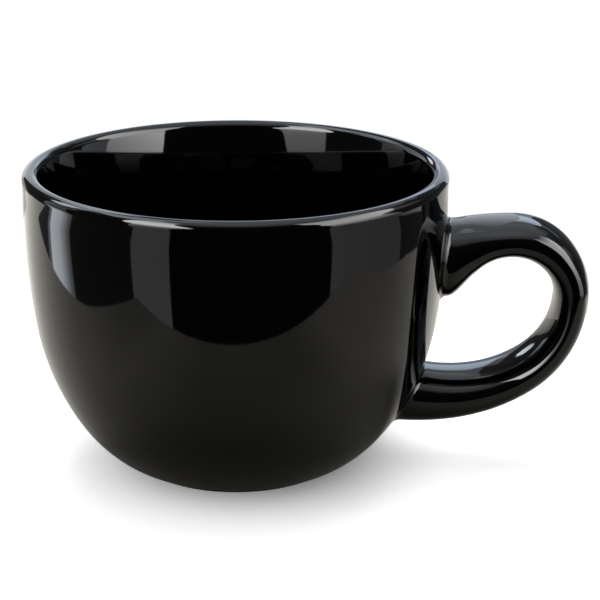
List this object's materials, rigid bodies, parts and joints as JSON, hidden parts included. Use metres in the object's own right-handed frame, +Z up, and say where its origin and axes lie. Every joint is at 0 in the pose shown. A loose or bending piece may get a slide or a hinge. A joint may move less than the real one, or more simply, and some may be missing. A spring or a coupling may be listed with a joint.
{
  "type": "latte mug",
  "caption": "Wide, round-bottomed stoneware latte mug with a rounded lip, a low foot ring and a broad strap handle luted to its wall.",
  "frame": {"origin": "middle of the mug's footprint, on the surface it stands on", "axes": "+X from the cup towards the handle, +Y across the handle's width, +Z up through the mouth"},
  "size_m": [0.167, 0.125, 0.0906],
  "materials": {
    "black_glaze": "gloss black glaze over stoneware"
  },
  "bodies": {
    "root": {"cup_body": "black_glaze", "handle": "black_glaze", "upper_slip_joint": "black_glaze", "lower_slip_joint": "black_glaze"}
  },
  "joints": []
}
